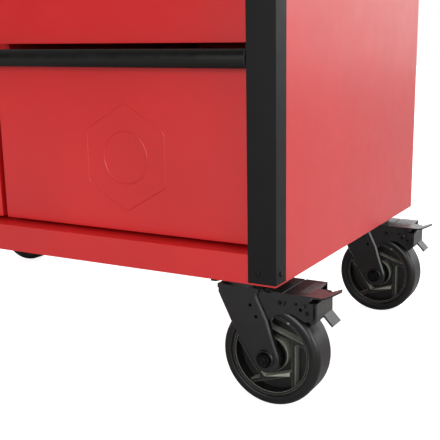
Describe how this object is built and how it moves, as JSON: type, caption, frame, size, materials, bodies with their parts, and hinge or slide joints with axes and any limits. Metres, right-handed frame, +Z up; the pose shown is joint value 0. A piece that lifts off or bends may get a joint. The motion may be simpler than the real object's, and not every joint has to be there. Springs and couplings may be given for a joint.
{
  "type": "rolling tool chest",
  "caption": "Red sheet-steel rolling tool chest with black corner trims, full-width drawer pulls, a mat-lined top tray, and rigid and braked swivel casters.",
  "frame": {"origin": "on the floor, under the middle of the whole chest with its wheels and pedals", "axes": "+X to the right as seen from the drawer side, towards the braked casters and push handle; +Y from the drawer fronts to the back; +Z up"},
  "size_m": [1.0834, 0.634, 0.9424],
  "materials": {
    "red_enamel": "gloss powder coat with fine orange peel",
    "black_enamel": "satin black powder coat",
    "black_anodised": "black anodised extrusion with fine drawn lines",
    "caster_black": "gloss black e-coat on pressed steel",
    "zinc_steel": "zinc plated rolled steel",
    "black_oxide": "black oxide fasteners",
    "olive_nylon": "moulded grey nylon with fine grain",
    "tyre_rubber": "moulded polyurethane tread",
    "mat_rubber": "ribbed rubber mat",
    "lock_chrome": "satin chrome on die-cast zinc"
  },
  "bodies": {
    "cabinet": {"side_panel_left": "red_enamel", "side_panel_right": "red_enamel", "back_panel": "red_enamel", "base_pan": "red_enamel", "bottom_rail": "red_enamel", "middle_rail": "red_enamel", "top_rail": "red_enamel", "column_divider": "red_enamel", "corner_trim_left": "black_enamel", "corner_trim_right": "black_enamel", "top_tray": "black_enamel", "push_handle": "black_enamel", "top_mat": "mat_rubber", "lock_housing": "lock_chrome", "trim_screws": "black_oxide", "slide_outer_members": "zinc_steel", "caster_bolts": "black_oxide", "caster_plates": "caster_black", "rigid_forks": "caster_black", "rigid_axles": "black_oxide"},
    "lock_plug": {"lock_cylinder": "lock_chrome"},
    "bottom_left_drawer": {"bottom_left_drawer_box": "red_enamel", "bottom_left_drawer_handle": "black_anodised", "bottom_left_drawer_slides": "zinc_steel"},
    "bottom_right_drawer": {"bottom_right_drawer_box": "red_enamel", "bottom_right_drawer_handle": "black_anodised", "bottom_right_drawer_slides": "zinc_steel"},
    "middle_left_drawer": {"middle_left_drawer_box": "red_enamel", "middle_left_drawer_handle": "black_anodised", "middle_left_drawer_slides": "zinc_steel"},
    "middle_right_drawer": {"middle_right_drawer_box": "red_enamel", "middle_right_drawer_handle": "black_anodised", "middle_right_drawer_slides": "zinc_steel"},
    "upper_left_drawer": {"upper_left_drawer_box": "red_enamel", "upper_left_drawer_handle": "black_anodised", "upper_left_drawer_slides": "zinc_steel"},
    "upper_right_drawer": {"upper_right_drawer_box": "red_enamel", "upper_right_drawer_handle": "black_anodised", "upper_right_drawer_slides": "zinc_steel"},
    "top_drawer": {"top_drawer_box": "red_enamel", "top_drawer_handle": "black_anodised", "top_drawer_slides": "zinc_steel"},
    "front_caster_fork": {"front_caster_yoke": "caster_black", "front_caster_axle_and_pins": "black_oxide"},
    "front_caster_wheel": {"front_caster_rim": "olive_nylon", "front_caster_tyre": "tyre_rubber"},
    "front_caster_brake_pedal_body": {"front_caster_brake_pedal": "caster_black"},
    "front_caster_brake_shoe_body": {"front_caster_brake_shoe": "caster_black"},
    "front_caster_release_tab_body": {"front_caster_release_tab": "caster_black"},
    "front_rigid_wheel": {"front_rigid_rim": "olive_nylon", "front_rigid_tyre": "tyre_rubber"},
    "rear_caster_fork": {"rear_caster_yoke": "caster_black", "rear_caster_axle_and_pins": "black_oxide"},
    "rear_caster_wheel": {"rear_caster_rim": "olive_nylon", "rear_caster_tyre": "tyre_rubber"},
    "rear_caster_brake_pedal_body": {"rear_caster_brake_pedal": "caster_black"},
    "rear_caster_brake_shoe_body": {"rear_caster_brake_shoe": "caster_black"},
    "rear_caster_release_tab_body": {"rear_caster_release_tab": "caster_black"},
    "rear_rigid_wheel": {"rear_rigid_rim": "olive_nylon", "rear_rigid_tyre": "tyre_rubber"}
  },
  "joints": [
    {"name": "lock_turn", "type": "hinge", "parent": "cabinet", "child": "lock_plug", "pos_m": [0.3855, -0.31, 0.904], "axis": [0, 1, 0], "range_deg": [0, 90]},
    {"name": "bottom_left_drawer_slide", "type": "slide", "parent": "cabinet", "child": "bottom_left_drawer", "axis": [0, -1, 0], "range_m": [0, 0.4]},
    {"name": "bottom_right_drawer_slide", "type": "slide", "parent": "cabinet", "child": "bottom_right_drawer", "axis": [0, -1, 0], "range_m": [0, 0.4]},
    {"name": "middle_left_drawer_slide", "type": "slide", "parent": "cabinet", "child": "middle_left_drawer", "axis": [0, -1, 0], "range_m": [0, 0.4]},
    {"name": "middle_right_drawer_slide", "type": "slide", "parent": "cabinet", "child": "middle_right_drawer", "axis": [0, -1, 0], "range_m": [0, 0.4]},
    {"name": "upper_left_drawer_slide", "type": "slide", "parent": "cabinet", "child": "upper_left_drawer", "axis": [0, -1, 0], "range_m": [0, 0.4]},
    {"name": "upper_right_drawer_slide", "type": "slide", "parent": "cabinet", "child": "upper_right_drawer", "axis": [0, -1, 0], "range_m": [0, 0.4]},
    {"name": "top_drawer_slide", "type": "slide", "parent": "cabinet", "child": "top_drawer", "axis": [0, -1, 0], "range_m": [0, 0.4]},
    {"name": "front_caster_swivel", "type": "hinge", "parent": "cabinet", "child": "front_caster_fork", "pos_m": [0.3985, -0.234, 0.178], "axis": [0, 0, 1], "continuous": true},
    {"name": "front_caster_wheel_spin", "type": "hinge", "parent": "front_caster_fork", "child": "front_caster_wheel", "pos_m": [0.4395, -0.234, 0.0762], "axis": [0, 1, 0], "continuous": true},
    {"name": "front_caster_pedal_press", "type": "hinge", "parent": "front_caster_fork", "child": "front_caster_brake_pedal_body", "pos_m": [0.4615, -0.234, 0.162], "axis": [0, 1, 0], "range_deg": [0, 8]},
    {"name": "front_caster_shoe_press", "type": "hinge", "parent": "front_caster_fork", "child": "front_caster_brake_shoe_body", "pos_m": [0.4615, -0.234, 0.162], "axis": [0, 1, 0], "range_deg": [0, 4]},
    {"name": "front_caster_tab_swing", "type": "hinge", "parent": "front_caster_fork", "child": "front_caster_release_tab_body", "pos_m": [0.5015, -0.234, 0.151], "axis": [0, 1, 0], "range_deg": [-4.8, 0]},
    {"name": "front_rigid_wheel_spin", "type": "hinge", "parent": "cabinet", "child": "front_rigid_wheel", "pos_m": [-0.4655, -0.234, 0.0762], "axis": [0, 1, 0], "continuous": true},
    {"name": "rear_caster_swivel", "type": "hinge", "parent": "cabinet", "child": "rear_caster_fork", "pos_m": [0.3985, 0.234, 0.178], "axis": [0, 0, 1], "continuous": true},
    {"name": "rear_caster_wheel_spin", "type": "hinge", "parent": "rear_caster_fork", "child": "rear_caster_wheel", "pos_m": [0.4395, 0.234, 0.0762], "axis": [0, 1, 0], "continuous": true},
    {"name": "rear_caster_pedal_press", "type": "hinge", "parent": "rear_caster_fork", "child": "rear_caster_brake_pedal_body", "pos_m": [0.4615, 0.234, 0.162], "axis": [0, 1, 0], "range_deg": [0, 8]},
    {"name": "rear_caster_shoe_press", "type": "hinge", "parent": "rear_caster_fork", "child": "rear_caster_brake_shoe_body", "pos_m": [0.4615, 0.234, 0.162], "axis": [0, 1, 0], "range_deg": [0, 4]},
    {"name": "rear_caster_tab_swing", "type": "hinge", "parent": "rear_caster_fork", "child": "rear_caster_release_tab_body", "pos_m": [0.5015, 0.234, 0.151], "axis": [0, 1, 0], "range_deg": [-4.8, 0]},
    {"name": "rear_rigid_wheel_spin", "type": "hinge", "parent": "cabinet", "child": "rear_rigid_wheel", "pos_m": [-0.4655, 0.234, 0.0762], "axis": [0, 1, 0], "continuous": true}
  ],
  "couplings": [
    {"joint": "front_caster_shoe_press", "follows": "front_caster_pedal_press", "ratio": 0.5},
    {"joint": "front_caster_tab_swing", "follows": "front_caster_pedal_press", "ratio": -0.6},
    {"joint": "rear_caster_shoe_press", "follows": "rear_caster_pedal_press", "ratio": 0.5},
    {"joint": "rear_caster_tab_swing", "follows": "rear_caster_pedal_press", "ratio": -0.6}
  ]
}
